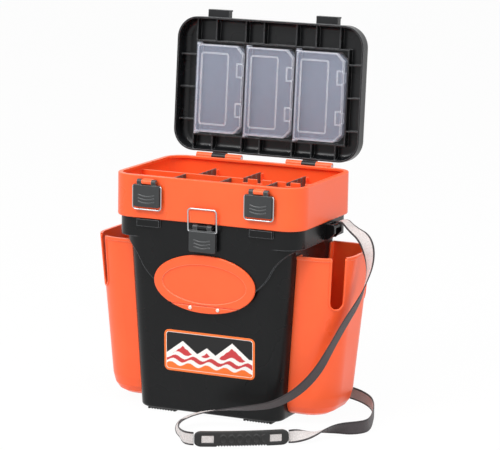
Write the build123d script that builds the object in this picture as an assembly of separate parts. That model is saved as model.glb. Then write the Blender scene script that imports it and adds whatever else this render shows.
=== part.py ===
from build123d import *
import math
import os

# Ice fishing seat box: a tapered tub, a tackle tray hinged on top, and a lid with three clear cases.
# Millimetres. The origin is on the floor under the middle of the tub, +X to the right as seen from
# the front, +Y to the back, +Z up. The lid is modelled shut and then turned to its open rest.

# Clearances
run_gap = 0.3
pin_clear = 0.05
seat_gap = 0.1
# How far a joined form reaches into its neighbour, and how far a cutter runs past what it cuts
bite = 1.0
reach = 60.0

# Tub
rest_w = 90.0
rest_d = 60.0
foot_h = 4.0
foot_w = 46.0
foot_d = 18.0
foot_x = 80.0
foot_y = 68.0
foot_tooth = 4.6
foot_groove_w = 3.2
foot_groove_side = 2.7
tub_base_w = 236.0
tub_base_d = 170.0
tub_base_corner = 24.0
tub_base_round = 5.0
tub_step_z = 271.0
tub_step_in_w = 15.0
tub_step_in_d = 5.0
tub_step_corner = 28.0
tub_wall = 3.0
tub_rim_z = 300.0
collar_in = 5.0
collar_corner = 29.0
apron_proud = 5.0
apron_foot_z = 192.0
apron_foot_half = 60.0
apron_bend = ((125.0, 258.0), (111.0, 242.0), (102.0, 226.0), (88.0, 210.0))
apron_head = 3.0
ledge_x = 92.5
ledge_w = 37.0
ledge_h = 12.0
ledge_proud = 5.0
ledge_drop = 1.0

# Hatch
hatch_z = 208.0
hatch_w = 166.0
hatch_h = 89.0
hatch_thick = 3.5
hatch_edge_r = 1.4
hatch_seat_in = 3.0
hatch_seat_deep = 14.0
hatch_dish_w = 138.0
hatch_dish_h = 60.0
hatch_dish_deep = 1.6
hatch_skirt_w = 126.0
hatch_skirt_h = 50.0
hatch_skirt_deep = 4.0
hatch_skirt_wall = 2.0
hatch_fit = 1.5
hatch_fold_y = -31.5
hatch_bead_in = 0.15
hatch_bead_short = 4.0
hatch_relief = 2.6
rivet_x = 22.7
rivet_y = -37.0
rivet_r = 1.8
rivet_head_r = 3.0
rivet_head_h = 1.6
rivet_head_round = 1.2
rivet_l = 12.0

# Tray
tray_w = 310.0
tray_d = 212.0
tray_h = 65.0
tray_corner = 32.0
tray_wall = 3.0
rim_w = 7.0
rim_h = 4.0
rim_round = 1.2
tray_foot_round = 2.5
mid_wall_y = -10.0
mid_wall_t = 2.5
mid_wall_h = 54.0
notch_w = 8.0
notch_pitch = 23.5
notch_deep = 6.0
notch_count = 5
notch_x0 = 24.0
divider_pitch = 76.0
divider_t = 2.0
front_divider_h = 53.0
rear_divider_h = 46.0
slit_count = 5
slit_w = 4.0
slit_deep = 15.0
guide_t = 1.6
guide_deep = 3.5
guide_short = 2.0
block_w = 40.0
block_h = 19.6
block_proud = 4.0
block_up = 2.0

# Lid
lid_over = 2.0
lid_short = 1.0
lid_h = 28.0
lid_corner = 34.0
lid_wall = 2.6
lid_round = 12.0
lid_rib_t = 2.0
lid_rib_deep = 13.0
lid_frame_in = 2.5
lid_frame_end = 4.0
lid_rib_x = (-129.0, -96.0, -46.0, -15.0, 40.0, 73.0, 113.0)
lid_rib_pitch_y = 51.0
lid_open_angle = 94.0
catch_w = 36.0
catch_proud = 12.0
catch_h = 11.0
catch_lip = 2.5
catch_play = 0.15

# Hinges between lid and tray, and between tray and tub
lid_hinge_x = 76.5
lid_knuckle = 23.5
tray_knuckle = 26.0
lid_knuckle_r = 5.0
lid_axis_out = 5.5
lid_axis_up = 0.7
lid_strap_up = 0.5
tub_hinge_x = 100.0
tub_hinge_mid = 20.0
tub_hinge_end = 16.0
tub_knuckle_r = 5.0
tub_axis_out = 5.6
knuckle_web = 14.0
hinge_pin_r = 2.5

# Latches
latch_x = 91.5
lever_w = 43.6
lever_t = 6.5
lever_h = 34.0
lever_round = 3.0
lever_edge_r = 1.0
lever_off = 2.2
lever_knuckle_r = 4.0
lever_boss_w = 16.0
lever_boss_in = 0.4
lever_boss_up = 2.0
lever_ear_w = 7.0
grip_half = 13.0
grip_sag = 2.5
grip_r = 0.8
grip_count = 3
grip_z0 = 6.0
grip_pitch = 5.0
latch_pin_r = 1.6
latch_axis_z = 357.0
latch_axis_out = 5.5
bail_r = 1.25
bail_leg = 35.5
bail_drop = 6.5
bail_corner = 5.0
bail_tail = 6.0
bail_play = 0.25
centre_axis_z = 296.0
centre_axis_out = 7.5
centre_lever_off = 4.0
centre_bail_leg = 34.0
centre_bail_tilt = 3.0

# Clear cases
case_w = 80.0
case_l = 137.0
case_pitch = 84.5
case_y = 6.5
case_wall = 1.6
case_cover_h = 6.5
case_set_back = 1.6
case_edge_r = 2.3
case_chamfer = 12.0
case_axis_in = 2.5
case_pin_r = 1.2
case_pin_in = 1.5
case_boss_r = 2.3
case_boss_in = 1.0
case_ear_t = 2.5
case_ear_up = 6.0
case_relief = 0.4
case_tab_l = 16.0
case_tab_t = 1.0
case_tab_y = 31.0
case_tab_up = 4.0
case_bead_in = 12.0
case_bead_w = 1.5
case_bead_h = 0.6
case_bead_left = 9.0
case_bead_right = 24.0
case_bead_r = 4.0
case_clip_w = 10.0
case_clip_l = 22.0
case_clip_t = 1.4

# Side pockets
pocket_z0 = 12.0
pocket_z1 = 258.0
pocket_x1 = 210.0
pocket_taper = 23.0
pocket_front = -65.0
pocket_back = 75.0
pocket_side_draft = 6.0
pocket_corner = 46.0
pocket_wall = 2.5
pocket_rim = 1.6
pocket_rim_h = 5.0
pocket_window_z = 214.0
pocket_window_in = 15.0
pocket_round = ((0.0, 17.0), (5.0, 8.0), (14.0, 2.4), (28.0, 0.0))
slot_w = 24.0
slot_z = 190.0
screw_r = 2.0
screw_head_r = 4.5
screw_head_h = 2.0
screw_head_round = 1.2
screw_past = 5.0
screw_z = (80.0, 205.0)

# Strap and its lugs
lug_y = 18.0
lug_w = 32.0
lug_h = 24.0
lug_out = 16.0
lug_plate = 3.0
lug_ear = 4.5
lug_drop = 3.0
lug_chamfer = 10.0
lug_round = 4.0
lug_bar_r = 3.0
lug_bar_in = 1.0
lug_bar_down = 2.0
strap_w = 20.0
strap_t = 1.8
strap_lift = 0.4
pad_h = 23.0
pad_t = 7.0
pad_sag = 5.0
pad_round = 2.0
webbing_step = 9.0

# Worked-out places
bail_axis_z = latch_axis_z - bail_drop
collar_w = tray_w - 2 * collar_in
collar_d = tray_d - 2 * collar_in
tub_step_w = collar_w - 2 * tub_step_in_w
tub_step_d = collar_d - 2 * tub_step_in_d
lid_w = tray_w + 2 * lid_over
lid_d = tray_d - 2 * lid_short
tub_base_z = foot_h
tub_floor_z = tub_base_z + tub_wall
tray_z0 = tub_rim_z + run_gap
tray_z1 = tray_z0 + tray_h
tray_front = -tray_d / 2
tray_back = tray_d / 2
lid_z0 = tray_z1 + run_gap
lid_z1 = lid_z0 + lid_h
lid_axis_y = tray_back + lid_axis_out
lid_axis_z = tray_z1 + lid_axis_up
tub_axis_y = tray_back + tub_axis_out
tub_axis_z = tub_rim_z
lid_axis = Axis((0, lid_axis_y, lid_axis_z), (1, 0, 0))


def block(x0, x1, y0, y1, z0, z1):
    """A box given by its two corners."""
    middle = Pos((x0 + x1) / 2, (y0 + y1) / 2, (z0 + z1) / 2)
    return middle * Box(x1 - x0, y1 - y0, z1 - z0)


def rod_x(x0, x1, y, z, r):
    """A round rod along X."""
    return Pos((x0 + x1) / 2, y, z) * Rot(0, 90, 0) * Cylinder(r, x1 - x0)


def rod_y(x, y0, y1, z, r):
    """A round rod along Y."""
    return Pos(x, (y0 + y1) / 2, z) * Rot(90, 0, 0) * Cylinder(r, y1 - y0)


def slab(w, d, corner, z0, z1):
    """An upright prism with a rounded rectangle for its plan."""
    return extrude(Plane.XY.offset(z0) * RectangleRounded(w, d, corner), amount=z1 - z0)


def tub_body(grow, z0, z1):
    """The tub's tapered body between two heights, grown outwards or, if negative, inwards."""
    faces = []
    for z in (z0, z1):
        share = (z - tub_base_z) / (tub_step_z - tub_base_z)
        w = tub_base_w + share * (tub_step_w - tub_base_w) + 2 * grow
        d = tub_base_d + share * (tub_step_d - tub_base_d) + 2 * grow
        corner = tub_base_corner + share * (tub_step_corner - tub_base_corner) + grow
        faces.append(Plane.XY.offset(z) * RectangleRounded(w, d, corner))
    return loft(faces, ruled=True)


def tub_half_width(z):
    share = (z - tub_base_z) / (tub_step_z - tub_base_z)
    return (tub_base_w + share * (tub_step_w - tub_base_w)) / 2


def tub_half_depth(z):
    share = (z - tub_base_z) / (tub_step_z - tub_base_z)
    return (tub_base_d + share * (tub_step_d - tub_base_d)) / 2


def swing_lid(shape):
    """Turns a shape from the shut lid to the open lid."""
    return shape.rotate(lid_axis, -lid_open_angle)


nodes = {}

# Hatch plane: lies on the apron's leaning front, x to the right, y up the face, z outwards
front_lean = math.atan((tub_step_d - tub_base_d) / 2 / (tub_step_z - tub_base_z))
hatch_face_y = -(tub_half_depth(hatch_z) + apron_proud)
hatch_plane = Plane(
    origin=(0, hatch_face_y, hatch_z),
    x_dir=(1, 0, 0),
    z_dir=(0, -math.cos(front_lean), -math.sin(front_lean)),
)


def on_hatch(shape):
    return hatch_plane.location * shape


def oval(w, h, z0, z1):
    return Pos(0, 0, z0) * extrude(Ellipse(w / 2, h / 2), amount=z1 - z0)


# Tub shell: tapered body, wider collar, apron with curved lower edges, ledges, hatch seat, knuckles
apron_half = tub_step_w / 2 + apron_proud
apron_low = tub_step_z - apron_head
apron_high = tub_step_z + apron_head
apron_edge = [(apron_half, apron_low), *apron_bend, (apron_foot_half, apron_foot_z)]
right_edge = Spline(*apron_edge)
left_edge = Spline(*[(-x, z) for x, z in reversed(apron_edge)])
apron_outline = make_face(
    [
        right_edge,
        Line((apron_foot_half, apron_foot_z), (-apron_foot_half, apron_foot_z)),
        left_edge,
        Line((-apron_half, apron_low), (-apron_half, apron_high)),
        Line((-apron_half, apron_high), (apron_half, apron_high)),
        Line((apron_half, apron_high), (apron_half, apron_low)),
    ]
)
apron_block = extrude(Plane.XZ * apron_outline, amount=collar_d)
tub = tub_body(0, tub_base_z, tub_step_z + bite)
tub = fillet(tub.edges().group_by(Axis.Z)[0], tub_base_round)
# Flat rest in the middle of the base, level with the bottom of the feet
tub += block(-rest_w / 2, rest_w / 2, -rest_d / 2, rest_d / 2, 0, tub_base_z + bite)
tub += slab(collar_w, collar_d, collar_corner, tub_step_z, tub_rim_z)
tub += tub_body(apron_proud, apron_foot_z - reach / 4, tub_step_z) & apron_block
tub += on_hatch(oval(hatch_w - 2 * hatch_seat_in, hatch_h - 2 * hatch_seat_in, -hatch_seat_deep, 0))
for side in (-1, 1):
    tub += block(
        side * ledge_x - ledge_w / 2,
        side * ledge_x + ledge_w / 2,
        -collar_d / 2 - ledge_proud,
        -collar_d / 2 + bite,
        tub_rim_z - ledge_h,
        tub_rim_z - ledge_drop,
    )
tub -= tub_body(-tub_wall, tub_floor_z, tub_step_z + tub_wall)
tub -= slab(
    collar_w - 2 * tub_wall,
    collar_d - 2 * tub_wall,
    collar_corner - tub_wall,
    tub_step_z + tub_wall,
    tub_rim_z + bite,
)
window_w = hatch_skirt_w + 2 * hatch_fit
window_h = hatch_skirt_h + 2 * hatch_fit
tub -= on_hatch(oval(window_w, window_h, -reach / 2, reach / 2))
for side in (-1, 1):
    tub -= on_hatch(Pos(side * rivet_x, rivet_y, 0) * Cylinder(rivet_r + pin_clear, reach))

# Rear knuckles of the tub, two either side of each tray knuckle
for side in (-1, 1):
    for end in (-1, 1):
        near = tub_hinge_mid / 2 + run_gap
        far = near + tub_hinge_end
        x0, x1 = sorted((side * tub_hinge_x + end * near, side * tub_hinge_x + end * far))
        tub += rod_x(x0, x1, tub_axis_y, tub_axis_z, tub_knuckle_r)
        tub += block(x0, x1, collar_d / 2 - bite, tub_axis_y, tub_axis_z - knuckle_web, tub_axis_z - run_gap)
    tub -= rod_x(
        side * tub_hinge_x - reach,
        side * tub_hinge_x + reach,
        tub_axis_y,
        tub_axis_z,
        hinge_pin_r + pin_clear,
    )

# Boss that carries the centre latch's pin
centre_axis_y = -collar_d / 2 - centre_axis_out
boss_r = lever_knuckle_r - lever_boss_in
tub += rod_x(-lever_boss_w / 2, lever_boss_w / 2, centre_axis_y, centre_axis_z, boss_r)
tub += block(
    -lever_boss_w / 2,
    lever_boss_w / 2,
    centre_axis_y,
    -collar_d / 2 + bite,
    centre_axis_z - boss_r,
    centre_axis_z + lever_boss_up,
)
tub -= rod_x(-reach, reach, centre_axis_y, centre_axis_z, latch_pin_r + pin_clear)
nodes["tub_shell"] = tub

# Feet: four ribbed pads under the corners of the base
feet = []
for sx in (-1, 1):
    for sy in (-1, 1):
        pad = Pos(sx * foot_x, sy * foot_y, foot_h / 2) * Box(foot_w, foot_d, foot_h)
        groove_count = int(foot_w / foot_tooth) - 1
        for i in range(groove_count):
            gx = sx * foot_x + (i - (groove_count - 1) / 2) * foot_tooth
            groove = Plane.XZ * Pos(gx, 0) * Triangle(a=foot_groove_w, b=foot_groove_side, c=foot_groove_side)
            cutter = extrude(groove, amount=collar_d, both=True)
            pad -= Pos(0, 0, -cutter.bounding_box().min.Z) * cutter
        feet.append(pad)
nodes["feet"] = Compound(children=feet)

# Hatch cover and the riveted strip that it folds on
fold_z = run_gap + hatch_thick / 2
fold_r = hatch_thick / 2 - hatch_bead_in
flange = oval(hatch_w, hatch_h, run_gap, run_gap + hatch_thick)
flange = fillet(flange.edges().group_by(Axis.Z)[-1], hatch_edge_r)
flange -= oval(hatch_dish_w, hatch_dish_h, run_gap + hatch_thick - hatch_dish_deep, reach)
chord = hatch_w * math.sqrt(1 - (2 * hatch_fold_y / hatch_h) ** 2)
above = block(-hatch_w, hatch_w, hatch_fold_y, hatch_h, -reach, reach)
below = block(-hatch_w, hatch_w, -hatch_h, hatch_fold_y, -reach, reach)
bead_half = chord / 2 - hatch_bead_short
cover = flange & above
cover += rod_x(-bead_half, bead_half, hatch_fold_y, fold_z, fold_r)
skirt = oval(hatch_skirt_w, hatch_skirt_h, run_gap - hatch_skirt_deep, run_gap + bite)
skirt_in = 2 * hatch_skirt_wall
skirt -= oval(hatch_skirt_w - skirt_in, hatch_skirt_h - skirt_in, -reach, reach)
cover += skirt
nodes["hatch_cover"] = on_hatch(cover)
strip = flange & below
strip -= rod_x(-hatch_w, hatch_w, hatch_fold_y, fold_z, fold_r + pin_clear)
strip -= block(-hatch_w, hatch_w, hatch_fold_y - hatch_relief, hatch_fold_y + bite, fold_z, reach)
rivets = []
for side in (-1, 1):
    strip -= Pos(side * rivet_x, rivet_y, 0) * Cylinder(rivet_r + pin_clear, reach)
    head_z = run_gap + hatch_thick
    rivet = Pos(side * rivet_x, rivet_y, head_z + seat_gap - rivet_l / 2) * Cylinder(rivet_r, rivet_l)
    head = Pos(side * rivet_x, rivet_y, head_z + rivet_head_h / 2 + seat_gap)
    dome = Cylinder(rivet_head_r, rivet_head_h)
    rivet += head * fillet(dome.edges().group_by(Axis.Z)[-1], rivet_head_round)
    rivets.append(on_hatch(rivet))
nodes["hatch_hinge_strip"] = on_hatch(strip)
nodes["hatch_rivets"] = Compound(children=rivets)

# Tray shell: rounded box with an inward rim, a lengthwise wall and grooves for the dividers
tray_in_w = tray_w - 2 * tray_wall
tray_in_d = tray_d - 2 * tray_wall
tray = slab(tray_w, tray_d, tray_corner, tray_z0, tray_z1)
tray = fillet(tray.edges().group_by(Axis.Z)[0], tray_foot_round)
tray = fillet(tray.edges().group_by(Axis.Z)[-1], rim_round)
tray -= slab(tray_in_w, tray_in_d, tray_corner - tray_wall, tray_z0 + tray_wall, tray_z1 - rim_h)
tray -= slab(
    tray_w - 2 * rim_w,
    tray_d - 2 * rim_w,
    tray_corner - rim_w,
    tray_z1 - rim_h - bite,
    tray_z1 + bite,
)
tray_floor = tray_z0 + tray_wall
mid_wall_top = tray_floor + mid_wall_h
tray += block(
    -tray_in_w / 2 - bite,
    tray_in_w / 2 + bite,
    mid_wall_y - mid_wall_t / 2,
    mid_wall_y + mid_wall_t / 2,
    tray_floor - bite,
    mid_wall_top,
)
for i in range(notch_count):
    notch_x = notch_x0 + i * notch_pitch
    tray -= block(
        notch_x - notch_w / 2,
        notch_x + notch_w / 2,
        mid_wall_y - mid_wall_t,
        mid_wall_y + mid_wall_t,
        mid_wall_top - notch_deep,
        mid_wall_top + bite,
    )
front_in = tray_front + tray_wall
back_in = tray_back - tray_wall
mid_front = mid_wall_y - mid_wall_t / 2
mid_back = mid_wall_y + mid_wall_t / 2
guide_top = tray_floor + rear_divider_h - guide_short
# The guides on the outer walls reach in past the rim, so that a divider lifts out inside it
front_stop = tray_front + rim_w
back_stop = tray_back - rim_w
guide_runs = (
    (front_in - bite, front_stop + guide_deep),
    (mid_front - guide_deep, mid_front + bite),
    (mid_back - bite, mid_back + guide_deep),
    (back_stop - guide_deep, back_in + bite),
)
slot_half = divider_t / 2 + run_gap
for i in (-1, 0, 1):
    gx = i * divider_pitch
    for y0, y1 in guide_runs:
        for end in (-1, 1):
            x0, x1 = sorted((gx + end * slot_half, gx + end * (slot_half + guide_t)))
            tray += block(x0, x1, y0, y1, tray_floor - bite, guide_top)

# Knuckles of the tray: for the lid at the top of the back, for the tub at its foot
for side in (-1, 1):
    for end in (-1, 1):
        near = lid_knuckle / 2 + run_gap
        far = near + tray_knuckle
        x0, x1 = sorted((side * lid_hinge_x + end * near, side * lid_hinge_x + end * far))
        tray += rod_x(x0, x1, lid_axis_y, lid_axis_z, lid_knuckle_r)
        tray += block(x0, x1, tray_back - bite, lid_axis_y, lid_axis_z - knuckle_web, lid_axis_z - bite)
    tray -= rod_x(
        side * lid_hinge_x - reach,
        side * lid_hinge_x + reach,
        lid_axis_y,
        lid_axis_z,
        hinge_pin_r + pin_clear,
    )
    x0 = side * tub_hinge_x - tub_hinge_mid / 2
    x1 = side * tub_hinge_x + tub_hinge_mid / 2
    tray += rod_x(x0, x1, tub_axis_y, tub_axis_z, tub_knuckle_r)
    tray += block(x0, x1, tray_back - bite, tub_axis_y, tub_axis_z + bite, tub_axis_z + knuckle_web)
    tray -= rod_x(x0 - bite, x1 + bite, tub_axis_y, tub_axis_z, hinge_pin_r + pin_clear)

# Bosses for the two front latch pins, and the block that the centre bail hooks over
latch_axis_y = tray_front - latch_axis_out
for side in (-1, 1):
    x0 = side * latch_x - lever_boss_w / 2
    x1 = side * latch_x + lever_boss_w / 2
    tray += rod_x(x0, x1, latch_axis_y, latch_axis_z, boss_r)
    tray += block(
        x0, x1, latch_axis_y, tray_front + bite, latch_axis_z - lever_boss_up, latch_axis_z + boss_r
    )
    tray -= rod_x(x0 - bite, x1 + bite, latch_axis_y, latch_axis_z, latch_pin_r + pin_clear)
block_z0 = tray_z0 + block_up
tray += block(
    -block_w / 2, block_w / 2, tray_front - block_proud, tray_front + bite, block_z0, block_z0 + block_h
)
nodes["tray_shell"] = tray

# Dividers: plates with a comb of slits in the top, one row in front of the lengthwise wall and one behind it
rows = {
    "front": (front_stop, mid_front, tray_floor + front_divider_h),
    "rear": (mid_back, back_stop, tray_floor + rear_divider_h),
}
for row, (y0, y1, top) in rows.items():
    for i, place in ((-1, "left"), (0, "middle"), (1, "right")):
        gx = i * divider_pitch
        plate = block(
            gx - divider_t / 2,
            gx + divider_t / 2,
            y0 + run_gap,
            y1 - run_gap,
            tray_floor + run_gap,
            top,
        )
        for k in range(slit_count):
            slit_y0 = y0 + (k + 1) / (slit_count + 1) * (y1 - y0) - slit_w / 2
            plate -= block(
                gx - bite * 2, gx + bite * 2, slit_y0, slit_y0 + slit_w, top - slit_deep, tray_z1
            )
        nodes[f"{row}_divider_{place}"] = plate

# Hinge pins
lid_pin_half = lid_knuckle / 2 + run_gap + tray_knuckle
tub_pin_half = tub_hinge_mid / 2 + run_gap + tub_hinge_end
lid_pins = []
tub_pins = []
for side in (-1, 1):
    mid = side * lid_hinge_x
    lid_pins.append(rod_x(mid - lid_pin_half, mid + lid_pin_half, lid_axis_y, lid_axis_z, hinge_pin_r))
    mid = side * tub_hinge_x
    tub_pins.append(rod_x(mid - tub_pin_half, mid + tub_pin_half, tub_axis_y, tub_axis_z, hinge_pin_r))
nodes["lid_hinge_pins"] = Compound(children=lid_pins)
nodes["tray_hinge_pins"] = Compound(children=tub_pins)

# Lid shell, modelled shut: domed edge, a frame round the cases tied to the edge by ribs, two knuckles
# and two catches
lid_outer = slab(lid_w, lid_d, lid_corner, lid_z0, lid_z1)
lid_outer = fillet(lid_outer.edges().group_by(Axis.Z)[-1], lid_round)
lid_top_in = lid_z1 - lid_wall
lid_hollow = slab(
    lid_w - 2 * lid_wall, lid_d - 2 * lid_wall, lid_corner - lid_wall, lid_z0 - bite, lid_top_in
)
lid_hollow = fillet(lid_hollow.edges().group_by(Axis.Z)[-1], lid_round - lid_wall)
lid = lid_outer - lid_hollow
rib_z0 = lid_top_in - lid_rib_deep
rib_reach_x = lid_w / 2 - lid_wall + bite
rib_reach_y = lid_d / 2 - lid_wall + bite
frame_x = case_pitch + case_w / 2 + lid_frame_in
frame_y0 = case_y - case_l / 2 - lid_frame_end
frame_y1 = case_y + case_l / 2 + lid_frame_end
t = lid_rib_t
case_frame = block(-frame_x - t, frame_x + t, frame_y0 - t, frame_y1 + t, rib_z0, lid_z1)
case_frame -= block(-frame_x, frame_x, frame_y0, frame_y1, rib_z0 - bite, lid_z1 + bite)
ribs = [case_frame]
for rib_y in (case_y - lid_rib_pitch_y, case_y, case_y + lid_rib_pitch_y):
    for side in (-1, 1):
        x0, x1 = sorted((side * (frame_x + t / 2), side * rib_reach_x))
        ribs.append(block(x0, x1, rib_y - t / 2, rib_y + t / 2, rib_z0, lid_z1))
for rib_x in lid_rib_x:
    ribs.append(block(rib_x - t / 2, rib_x + t / 2, -rib_reach_y, frame_y0 - t / 2, rib_z0, lid_z1))
    ribs.append(block(rib_x - t / 2, rib_x + t / 2, frame_y1 + t / 2, rib_reach_y, rib_z0, lid_z1))
for rib in ribs:
    lid += rib & lid_outer
lid_front = -lid_d / 2
catch_top = bail_axis_z + bail_leg - bail_r - catch_play
strap_y0 = lid_d / 2 - lid_wall / 2
for side in (-1, 1):
    mid = side * lid_hinge_x
    x0 = mid - lid_knuckle / 2
    x1 = mid + lid_knuckle / 2
    lid += rod_x(x0, x1, lid_axis_y, lid_axis_z, lid_knuckle_r)
    lid += block(x0, x1, strap_y0, lid_axis_y, lid_axis_z + lid_strap_up, lid_axis_z + lid_knuckle_r)
    lid -= rod_x(x0 - bite, x1 + bite, lid_axis_y, lid_axis_z, hinge_pin_r + pin_clear)
    x0 = side * latch_x - catch_w / 2
    x1 = side * latch_x + catch_w / 2
    lip_y = lid_front - catch_proud
    lid += block(x0, x1, lip_y, lid_front + 2 * bite, catch_top - catch_h, catch_top)
    lid += block(x0, x1, lip_y, lip_y + catch_lip, catch_top - catch_h, catch_top + catch_lip)
nodes["lid_shell"] = swing_lid(lid)


# Front latches: each lever hangs on a pin in the tray's boss, and a wire bail hangs on the lever
def lever(mid, axis_y, axis_z, back_y):
    """A latch lever hanging from its axis: two ears, a plate and three curved grip ridges."""
    top = axis_z - lever_knuckle_r
    shape = block(
        mid - lever_w / 2, mid + lever_w / 2, back_y - lever_t, back_y, top - lever_h, top - bite / 2
    )
    shape = fillet(shape.edges().filter_by(Axis.Y).group_by(Axis.Z)[0], lever_round)
    shape = fillet(shape.faces().sort_by(Axis.Y)[0].edges(), lever_edge_r)
    for side in (-1, 1):
        x0, x1 = sorted(
            (
                mid + side * (lever_boss_w / 2 + run_gap),
                mid + side * (lever_boss_w / 2 + run_gap + lever_ear_w),
            )
        )
        shape += rod_x(x0, x1, axis_y, axis_z, lever_knuckle_r)
        shape += block(x0, x1, back_y - lever_t + bite / 2, axis_y + latch_pin_r, top - 2 * bite, axis_z)
    shape -= rod_x(mid - reach, mid + reach, axis_y, axis_z, latch_pin_r + pin_clear)
    for i in range(grip_count):
        z = top - lever_h + grip_z0 + i * grip_pitch
        arc = ThreePointArc((mid - grip_half, z + grip_sag), (mid, z), (mid + grip_half, z + grip_sag))
        path = Plane.XZ.offset(lever_t - back_y) * arc
        shape += sweep(Plane(origin=path @ 0, z_dir=path % 0) * Circle(grip_r), path=path)
    return shape


def bail(mid, axis_y, axis_z, leg, up):
    """A bent steel wire: two inturned tails on the lever, two legs and a cross bar."""
    half = lever_w / 2 + bail_r + bail_play
    end = axis_z + up * leg
    route = FilletPolyline(
        (mid - half + bail_tail, axis_y, axis_z),
        (mid - half, axis_y, axis_z),
        (mid - half, axis_y, end),
        (mid + half, axis_y, end),
        (mid + half, axis_y, axis_z),
        (mid + half - bail_tail, axis_y, axis_z),
        radius=[bail_r * 1.3, bail_corner, bail_corner, bail_r * 1.3],
    )
    return sweep(Plane(origin=route @ 0, z_dir=route % 0) * Circle(bail_r), path=route)


lever_back = tray_front - lever_off
bail_axis_y = lever_back - lever_t / 2
for side, name in ((-1, "left"), (1, "right")):
    mid = side * latch_x
    arm = lever(mid, latch_axis_y, latch_axis_z, lever_back)
    arm -= rod_x(mid - reach, mid + reach, bail_axis_y, bail_axis_z, bail_r + pin_clear)
    nodes[f"{name}_latch_lever"] = arm
    nodes[f"{name}_latch_bail"] = bail(mid, bail_axis_y, bail_axis_z, bail_leg, -1)
latch_pin_half = lever_boss_w / 2 + run_gap + lever_ear_w
latch_pins = []
for side in (-1, 1):
    mid = side * latch_x
    latch_pins.append(
        rod_x(mid - latch_pin_half, mid + latch_pin_half, latch_axis_y, latch_axis_z, latch_pin_r)
    )
nodes["front_latch_pins"] = Compound(children=latch_pins)

# Centre latch: lever on the tub, bail standing up beside the tray's block and just in front of it
centre_back = -collar_d / 2 - centre_lever_off
centre_bail_y = tray_front - block_proud
centre_bail_z = centre_axis_z - bail_drop
arm = lever(0, centre_axis_y, centre_axis_z, centre_back)
arm -= rod_x(-reach, reach, centre_bail_y, centre_bail_z, bail_r + pin_clear)
nodes["centre_latch_lever"] = arm
wire = bail(0, centre_bail_y, centre_bail_z, centre_bail_leg, 1)
nodes["centre_latch_bail"] = wire.rotate(
    Axis((0, centre_bail_y, centre_bail_z), (1, 0, 0)), centre_bail_tilt
)
nodes["centre_latch_pin"] = rod_x(
    -latch_pin_half, latch_pin_half, centre_axis_y, centre_axis_z, latch_pin_r
)


# Clear cases, modelled in the shut lid with their covers facing down
def case_plan(mid, inset):
    """The case's plan with its two right corners cut off."""
    x0 = mid - case_w / 2 + inset
    x1 = mid + case_w / 2 - inset
    y0 = case_y - case_l / 2 + inset
    y1 = case_y + case_l / 2 - inset
    cut = case_chamfer - inset * (2 - math.sqrt(2))
    return Polygon(
        (x0, y0), (x1 - cut, y0), (x1, y0 + cut), (x1, y1 - cut), (x1 - cut, y1), (x0, y1), align=None
    )


def case_prism(mid, inset, z0, z1):
    return extrude(Plane.XY.offset(z0) * case_plan(mid, inset), amount=z1 - z0)


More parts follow.
